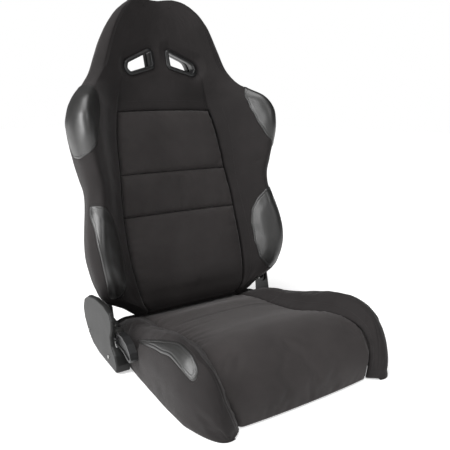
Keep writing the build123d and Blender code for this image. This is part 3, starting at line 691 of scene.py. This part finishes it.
def stitches(name, line, normal, body, length=3.6, pitch=5.4, radius=0.42):
    """Row of thread stitches along a line lying on a surface."""
    line, normal = np.asarray(line, float), np.asarray(normal, float)
    way = np.concatenate([[0], np.cumsum(np.linalg.norm(np.diff(line, axis=0), axis=1))])
    starts = np.arange(pitch / 2, way[-1] - pitch / 2, pitch)
    points, faces = [], []
    profile = ((-0.5, 0.25, -0.35), (-0.42, 0.8, 0.1), (0, 1.0, 0.45), (0.42, 0.8, 0.1), (0.5, 0.25, -0.35))
    for start in starts:
        a = np.array([np.interp(start + length * t, way, line[:, k]) for t in (0, 1) for k in range(3)])
        up = np.array([np.interp(start, way, normal[:, k]) for k in range(3)])
        first, last = a[:3], a[3:]
        along = (last - first) / max(np.linalg.norm(last - first), 1e-6)
        side = np.cross(up, along)
        base = len(points)
        for t, wide, lift in profile:
            middle = (first + last) / 2 + along * length * t + up * lift * radius
            for k in range(6):
                angle = k * math.pi / 3
                points.append(middle + (side * math.cos(angle) + up * math.sin(angle)) * radius * wide)
        for i in range(len(profile) - 1):
            for k in range(6):
                m = (k + 1) % 6
                faces.append((base + i * 6 + k, base + i * 6 + m, base + i * 6 + 6 + m, base + i * 6 + 6 + k))
        faces.append(tuple(base + k for k in reversed(range(6))))
        faces.append(tuple(base + (len(profile) - 1) * 6 + k for k in range(6)))
    return mesh_object(name, points, faces, MATERIALS["thread"], body)


def bezel(name, side, front, body="backrest"):
    """Moulded flange and sleeve of a harness opening, swept round its outline."""
    outline = closed_curve(SLOT, 144, 2.6)
    ahead = np.roll(outline, -1, 0) - np.roll(outline, 1, 0)
    out = np.stack([ahead[:, 1], -ahead[:, 0]], axis=1)
    out /= np.linalg.norm(out, axis=1, keepdims=True)
    if np.mean(np.sum(out * (outline - outline.mean(axis=0)), axis=1)) < 0:
        out = -out
    seat, facing, start = (SLOT_FRONT, 1, 0) if front else (SLOT_REAR, -1, FLARE)
    deep = (SLOT_FRONT - SLOT_REAR) / 2
    lip = [(0, -6), (0, 2.8), (0.3, 4.2), (1.2, 5.3), (2.6, 5.8), (4.2, 5.6), (6.0, 4.9), (8.0, 4.3),
           (9.6, 3.6), (10.6, 2.4), (RIM, 0.9), (RIM, -0.8), (3.4, -0.8), (2.4, -6)]
    profile = [(FLARE / 2 - start, -deep), *lip, (FLARE / 2 - start + 2.4, -deep)]
    profile = [(start + grow, height) for grow, height in profile]
    rows = []
    for grow, height in profile:
        d = seat + facing * height
        ring = outline + out * grow
        rows.append(back_point(side * ring[:, 0], d, ring[:, 1] + (SLOT_FRONT - d) * math.tan(BACK_TILT)))
    n, count = len(outline), len(profile)
    faces = []
    for i in range(count):
        for k in range(n):
            m, j = (k + 1) % n, (i + 1) % count
            faces.append((i * n + k, i * n + m, j * n + m, j * n + k))
    piece = mesh_object(name, np.array(rows), faces, MATERIALS["black_plastic"], body)
    fix_winding(piece)
    return piece


def fix_winding(obj):
    """Points all faces outwards."""
    work = bmesh.new()
    work.from_mesh(obj.data)
    bmesh.ops.recalc_face_normals(work, faces=work.faces)
    work.to_mesh(obj.data)
    work.free()


def make_back():
    cloth, insert = MATERIALS["bolster_fabric"], MATERIALS["insert_fabric"]
    grid, w, marks, columns, open_cells = back_sections()
    a, b = columns["seam_left"], columns["seam_right"]
    # centre pads between the cross seams
    for k, name in enumerate(("lumbar", "middle", "chest")):
        rest = grid[marks[k]:marks[k + 1] + 1, a:b + 1]
        # the back's lower end stays slim, so that it clears the base when it folds
        clear = smoothstep(w[marks[k]:marks[k + 1] + 1], -196, -110)[:, None]
        soft = rest + swelling(rest, SWELL_CAP) * clear[..., None]
        edge = np.minimum(run(rest, 1, 0), run(rest, 1, rest.shape[1] - 1))
        top, bottom = run(rest, 0, rest.shape[0] - 1), run(rest, 0, 0)
        drop = np.minimum(roll(edge, 12, 9), roll(top, 13, 9))
        drop = np.minimum(drop, roll(bottom, 13, 9) if k else 0 * bottom)
        outer = soft + normals(rest) * (drop + 2.5 * clear - 1.0)[..., None]
        piece = shell(f"back_{name}_cover", outer, rest, 16, insert, "backrest")
        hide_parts(f"back_{name}_pad")
        row = int(np.argmin(np.abs(top[:, rest.shape[1] // 2] - 7.0)))
        stitches(f"back_{name}_stitching", outer[row, 6:-6], normals(outer)[row, 6:-6], "backrest")
    # one sewn cover: both bolsters and the head
    rest, below, above = capped(grid)
    rows = rest.shape[0]
    low, close = marks[3] + below, int(np.searchsorted(w, -112)) + below
    keep = np.ones((rows - 1, rest.shape[1]), bool)
    keep[below:low, a:b] = False
    keep[close:low, :columns["corner_left"]] = False
    keep[close:low, columns["corner_right"]:] = False
    keep[below:below + len(w) - 1] &= ~(open_cells[:-1] | open_cells[1:])
    seam = np.minimum(run(rest, 1, a), run(rest, 1, b))
    inside = (np.arange(rest.shape[1]) > a) & (np.arange(rest.shape[1]) < b)
    level = np.pad(w, (below, above), mode="edge")[:, None] + 0 * seam
    drop = np.where(inside | (level > SEAM_W[3] + 2), 0, roll(seam, 12, 8))
    upper = run(rest, 0, low)
    drop = np.minimum(drop, np.where(inside & (level >= SEAM_W[3]), roll(upper, 11, 8), 0))
    fade = np.exp(-np.clip(level - SEAM_W[3], 0, None) / 45)
    drop = np.minimum(drop, np.where(level > SEAM_W[3], groove(seam, 4.0, 5.0) * fade, 0))
    crest = np.minimum(run(rest, 1, columns["crest_left"]), run(rest, 1, columns["crest_right"]))
    rim = smoothstep(level, 425, 480) * (1 - smoothstep(level, 628, 642))
    drop = drop + groove(crest, 2.8, 2.2) * rim
    calm = 1 - smoothstep(level, 590, 625)
    wrinkle = smooth_noise(rest.shape[:2], (46, 90), 5) * 0.4 * calm
    outer = rest + normals(rest, True) * (drop + wrinkle)[..., None]
    inner = capped(grid - normals(grid, True) * COVER_THICKNESS, COVER_THICKNESS)[0]
    name = "back_bolster_and_head_cover"
    piece = shell(name, outer, rest, COVER_THICKNESS, cloth, "backrest", keep, True, inner)
    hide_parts("back_head_pad", "back_bolster_left", "back_bolster_right")
    body = outer[below:below + len(w)]
    face = normals(outer, True)[below:below + len(w)]
    signed = run(grid, 1, columns["crest_right"])
    half = slice(columns["seam_right"], rest.shape[1])
    ways_right = np.where(np.arange(rest.shape[1]) < columns["crest_right"], -signed, signed)[:, half]
    signed = run(grid, 1, columns["crest_left"])
    ways_left = np.where(np.arange(rest.shape[1]) > columns["crest_left"], -signed, signed)[:, :a + 1]
    for name, outline, puff in (("shoulder", SHOULDER_PATCH, 2.0), ("lumbar", LUMBAR_PATCH, 3.0)):
        for side, ways, part in (("right", ways_right, body[:, half]), ("left", ways_left, body[:, :a + 1])):
            piece = overlay(f"{name}_vinyl_{side}", part, ways, w, outline, "backrest", puff)
            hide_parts(f"{name}_wear_patch_{side}")
    # stitching beside the long seams
    for side, column in (("left", a - 7), ("right", b + 7)):
        rows_used = slice(marks[0] + 3, marks[3])
        stitches(f"back_seam_stitching_{side}", body[rows_used, column], face[rows_used, column], "backrest")
    row = marks[3] + 7
    stitches("head_seam_stitching", body[row, a + 7:b - 6], face[row, a + 7:b - 6], "backrest")
    for side, column in (("left", columns["crest_left"] + 3), ("right", columns["crest_right"] - 3)):
        rim_rows = (w > 450) & (w < 632)
        stitches(f"head_rim_stitching_{side}", body[rim_rows, column], face[rim_rows, column], "backrest")
    make_rear_shell(grid, w, columns, open_cells)
    for side, name in ((1, "right"), (-1, "left")):
        for front, place in ((True, "front"), (False, "rear")):
            piece = bezel(f"opening_{place}_trim_{name}", side, front)
            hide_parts(f"harness_bezel_{place}_{name}")


def make_rear_shell(grid, w, columns, open_cells):
    """Smooth moulded shell over the back of the seat, with a pressed border and centre ribs."""
    count = grid.shape[1]
    order = np.r_[columns["corner_right"] - 3:count, 0:columns["corner_left"] + 4]
    rows = (w > -121) & (w < 603)
    part, cells = grid[rows][:, order], open_cells[rows][:, order]
    normal = normals(part)
    edge = np.minimum(run(part, 1, 0), run(part, 1, part.shape[1] - 1))
    ends = np.minimum(run(part, 0, 0), run(part, 0, part.shape[0] - 1))
    edge = np.minimum(edge, ends)
    relief = 4.2 + roll(edge, 6, 3.4) - 2.4 * smoothstep(edge, 34, 42) + 1.6 * smoothstep(edge, 58, 66)
    across = (part[..., 0] / 24.0 + 0.5) % 1.0 - 0.5
    ribs = np.exp(-(across * 24 / 5.0) ** 2) * (np.abs(part[..., 0]) < 84)
    height = w[rows][:, None] + 0 * edge
    relief = relief + 1.5 * ribs * smoothstep(height, -50, -30) * (1 - smoothstep(height, 300, 330))
    near = 1 - smoothstep(slot_distance(part[..., 0], SLOT_REAR, height) - FLARE, RIM, RIM + 12)
    relief = relief * (1 - near) + 4.2 * near
    outer = part + normal * relief[..., None]
    keep = ~(cells[:-1, :-1] | cells[1:, 1:] | cells[:-1, 1:] | cells[1:, :-1])
    plastic = MATERIALS["black_plastic"]
    piece = shell("back_rear_shell", outer, part + normal * 0.6, 0.5, plastic, "backrest", keep)
    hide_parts("back_rear_panel")


make_back()


# ---------------------------------------------------------------- base covers
def base_controls():
    """Control rows of the right-hand base bolster, from the centre seam over the crest to the hem."""
    rows = []
    for seam, crest, side, hem in BASE:
        seam, crest, side = (np.array(p, float) for p in (seam, crest, side))
        hem = np.array([*hem, HEM_Z])
        wall = seam + 0.4 * (crest - seam) - np.array([0, 0, 0.12 * (crest[2] - seam[2])])
        inner = crest + 0.22 * (seam - crest) + np.array([0, 0, 0.1 * (crest[2] - seam[2])])
        shoulder = crest + 0.55 * (side - crest) + np.array([0.12, 0, 0.14]) * (crest[2] - side[2])
        low = 0.5 * (side + hem) + np.array([1, 0, 0])
        rows.append([seam, wall, inner, crest, shoulder, side, low, hem])
    return np.array(rows)


def make_base():
    control = base_controls()
    length = chords(control.transpose(1, 0, 2))
    along, _ = chained([0, length[-1]], 3.0, 4.5, 10.0)
    along = along[::-1]
    rows = spline(length, control, along)
    knots = chords(rows)
    across, marks = chained([0, knots[3], knots[-1]], 1.8, 4.5, 14.0)
    grid = spline(knots, rows.transpose(1, 0, 2), across).transpose(1, 0, 2)
    # insert
    seam_line = grid[:, 0]
    at = spaced(-1.0, 1.0, 1.6 / 170, 4.8 / 170, 14.0 / 170)
    half = seam_line[:, 0][:, None] + TUCK
    rest = np.empty((len(along), len(at), 3))
    rest[..., 0] = half * at[None, :]
    rest[..., 1] = seam_line[:, 1][:, None]
    rest[..., 2] = seam_line[:, 2][:, None]
    clear = smoothstep(along, 45, 150)     # the rear stays low, so that the folding back clears it
    ends = clear * (0.7 + 0.3 * np.clip((along[0] - along) / 90, 0, 1))
    bulge = (BASE_CROWN * ends)[:, None] * (1 - np.abs(at[None, :]) ** 2.4)
    rest += normals(rest) * bulge[..., None]
    soft = rest + swelling(rest, SWELL_CAP) * clear[:, None, None]
    edge = np.minimum(run(rest, 1, 0), run(rest, 1, rest.shape[1] - 1))
    stitch_row = int(np.argmin(np.abs(seam_line[:, 1] - 55.0)))
    cross = run(rest, 0, stitch_row)
    drop = roll(edge - TUCK, 10, 7) + groove(cross, 3.0, 1.3)
    outer = soft + normals(rest) * (drop + 3.5 * clear[:, None] - 2.5)[..., None]
    outer[..., 2] = np.maximum(outer[..., 2], HEM_Z)
    for k, row in enumerate((stitch_row - 2, stitch_row + 2)):
        stitches(f"base_cross_stitching_{k}", outer[row, 6:-6], normals(outer)[row, 6:-6], "base")
    piece = shell("base_centre_cover", outer, rest, 14, MATERIALS["insert_fabric"], "base")
    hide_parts("base_centre_pad")
    # bolsters
    edge = run(grid, 1, 0)
    crest = run(grid, 1, marks[1])
    front = np.clip((-150 - grid[..., 1]) / 40, 0, 1)
    drop = roll(edge, 9, 5.5) + groove(crest, 2.8, 1.6) * front
    soft = swelling(grid, BOLSTER_SWELL_CAP)
    shaped = grid + soft + normals(grid) * (drop + smooth_noise(grid.shape[:2], (24, 12), 8) * 0.5)[..., None]
    shaped[..., 2] = np.maximum(shaped[..., 2], HEM_Z)
    for side, name in ((1, "right"), (-1, "left")):
        flip = np.array([side, 1, 1])
        outer, rest = shaped * flip, grid * flip
        if side < 0:
            outer, rest = outer[:, ::-1], rest[:, ::-1]
        cloth = MATERIALS["bolster_fabric"]
        piece = shell(f"base_bolster_cover_{name}", outer, rest, COVER_THICKNESS, cloth, "base")
        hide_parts(f"base_bolster_{name}")
        ways = run(grid, 1, marks[1])
        ways = np.where(np.arange(grid.shape[1]) < marks[1], -ways, ways)
        if side < 0:
            ways = ways[:, ::-1]
        patch = overlay(f"base_vinyl_{name}", outer, ways, grid[:, marks[1], 1], BASE_PATCH, "base", 1.5)
        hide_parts(f"base_wear_patch_{name}")
        column = 7 if side > 0 else outer.shape[1] - 8
        stitches(f"base_seam_stitching_{name}", outer[4:-6, column], normals(outer)[4:-6, column], "base")


make_base()


# ---------------------------------------------------------------- finishes of the CAD pieces
def finish_cad():
    """Gives each CAD piece that stays visible the material of its slot."""
    slots = {part["node"]: part["material_slot"] for part in frame["record"]["subparts"]}
    for node, obj in frame["nodes"].items():
        obj.data.materials.clear()
        obj.data.materials.append(MATERIALS[slots[node]])


finish_cad()


# ---------------------------------------------------------------- stage, light and camera
def area(name, place, target, size, power):
    """Rectangular light at a place, aimed at a target."""
    light = bpy.data.lights.new(name, "AREA")
    light.shape = "RECTANGLE"
    light.size, light.size_y = size
    light.energy = power
    obj = bpy.data.objects.new(name, light)
    obj.location = place
    obj.rotation_euler = (Vector(target) - Vector(place)).to_track_quat("-Z", "Y").to_euler()
    bpy.context.scene.collection.objects.link(obj)


def sun(name, toward, strength, softness):
    """Soft directional light from a direction given as a vector out of the scene."""
    light = bpy.data.lights.new(name, "SUN")
    light.energy = strength
    light.angle = math.radians(softness)
    obj = bpy.data.objects.new(name, light)
    obj.rotation_euler = Vector(toward).to_track_quat("Z", "Y").to_euler()
    bpy.context.scene.collection.objects.link(obj)


def make_stage():
    """White floor and backdrop, one soft light from above and two panels."""
    mesh = bpy.data.meshes.new("floor")
    mesh.from_pydata([(-9, -9, 0), (9, -9, 0), (9, 16, 0), (-9, 16, 0)], [], [(0, 1, 2, 3)])
    material, nodes, _ = new_material("floor_white")
    shader = nodes["Principled BSDF"]
    shader.inputs["Base Color"].default_value = (0.8, 0.8, 0.8, 1)
    shader.inputs["Roughness"].default_value = 0.8
    shader.inputs["Specular IOR Level"].default_value = 0.1
    shader.inputs["Emission Color"].default_value = (1, 1, 1, 1)
    shader.inputs["Emission Strength"].default_value = 0.5
    mesh.materials.append(material)
    floor = bpy.data.objects.new("floor", mesh)
    bpy.context.scene.collection.objects.link(floor)
    world = bpy.data.worlds.new("studio")
    world.use_nodes = True
    nodes, links = world.node_tree.nodes, world.node_tree.links
    backdrop, fill = nodes["Background"], nodes.new("ShaderNodeBackground")
    backdrop.inputs["Color"].default_value = fill.inputs["Color"].default_value = (1, 1, 1, 1)
    backdrop.inputs["Strength"].default_value = 1.0
    fill.inputs["Strength"].default_value = 0.08
    path, mix = nodes.new("ShaderNodeLightPath"), nodes.new("ShaderNodeMixShader")
    links.new(path.outputs["Is Camera Ray"], mix.inputs["Fac"])
    links.new(fill.outputs["Background"], mix.inputs[1])
    links.new(backdrop.outputs["Background"], mix.inputs[2])
    links.new(mix.outputs["Shader"], nodes["World Output"].inputs["Surface"])
    bpy.context.scene.world = world
    bpy.context.scene.view_settings.view_transform = "Standard"
    sun("overhead", (-0.3, -0.1, 1.0), 2.4, 50)
    area("key", (-1.8, 0.0, 1.0), (-0.2, 0.15, 0.5), (0.45, 1.3), 30)
    area("front", (-0.6, -2.2, 1.9), (0, 0, 0.2), (1.4, 0.7), 16)


def make_camera():
    """Three-quarter view from the front left."""
    camera = bpy.data.cameras.new("camera")
    camera.sensor_width = 36.0
    camera.lens = 40.8
    obj = bpy.data.objects.new("camera", camera)
    obj.location = (-0.6446, -0.9950, 0.6014)
    obj.rotation_euler = Euler([math.radians(v) for v in (76.986, 0.604, -31.865)])
    bpy.context.scene.collection.objects.link(obj)
    bpy.context.scene.camera = obj


make_stage()
make_camera()

bpy.context.view_layer.update()
